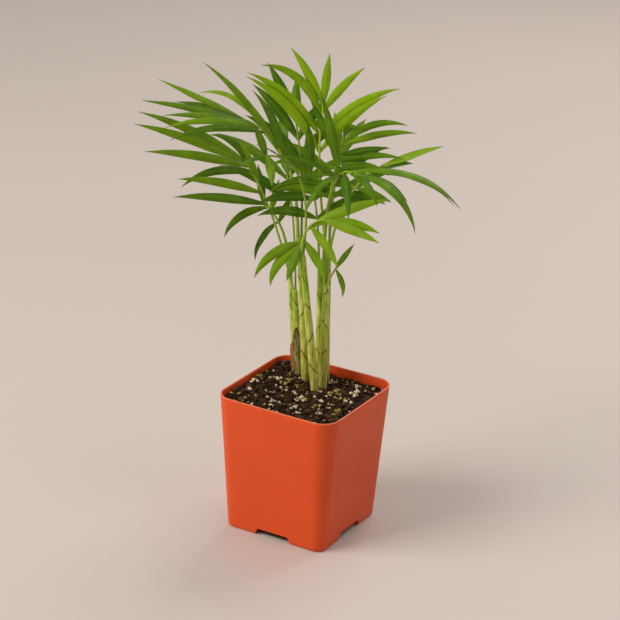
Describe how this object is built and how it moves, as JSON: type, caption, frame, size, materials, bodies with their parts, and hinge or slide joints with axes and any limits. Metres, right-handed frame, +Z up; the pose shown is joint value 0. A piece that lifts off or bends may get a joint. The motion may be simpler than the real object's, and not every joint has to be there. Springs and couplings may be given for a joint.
{
  "type": "potted palm",
  "caption": "Young feather palm with several canes and arching fronds in a tapered square nursery pot with drain channels.",
  "frame": {"origin": "centre of the pot's flat underside, on the plane it rests on", "axes": "+Z up along the pot's axis and the plant's height; X and Y along the pot's sides"},
  "size_m": [0.2014, 0.164, 0.3447],
  "materials": {
    "pot": "satin moulded terracotta plastic",
    "soil": "damp peat and bark with pale grains",
    "cane": "smooth living sheath",
    "dry_sheath": "dry papery",
    "leaf": "satin living leaf"
  },
  "bodies": {
    "root": {"pot": "pot", "soil": "soil", "cane_left": "cane", "cane_back_left": "cane", "cane_middle": "cane", "cane_front": "cane", "cane_inner": "cane", "cane_right": "cane", "cane_back_right": "cane", "dry_sheath_left": "dry_sheath", "dry_sheath_back": "dry_sheath", "frond_top": "leaf", "frond_left_high": "leaf", "frond_left_low": "leaf", "frond_left_drooping": "leaf", "frond_star": "leaf", "frond_right_high": "leaf", "frond_right_back": "leaf", "frond_front_low": "leaf", "frond_small_right": "leaf", "frond_centre_small": "leaf", "frond_inner_front": "leaf", "frond_inner_left": "leaf", "frond_inner_right": "leaf", "frond_back_left": "leaf", "frond_back_right": "leaf"}
  },
  "joints": []
}
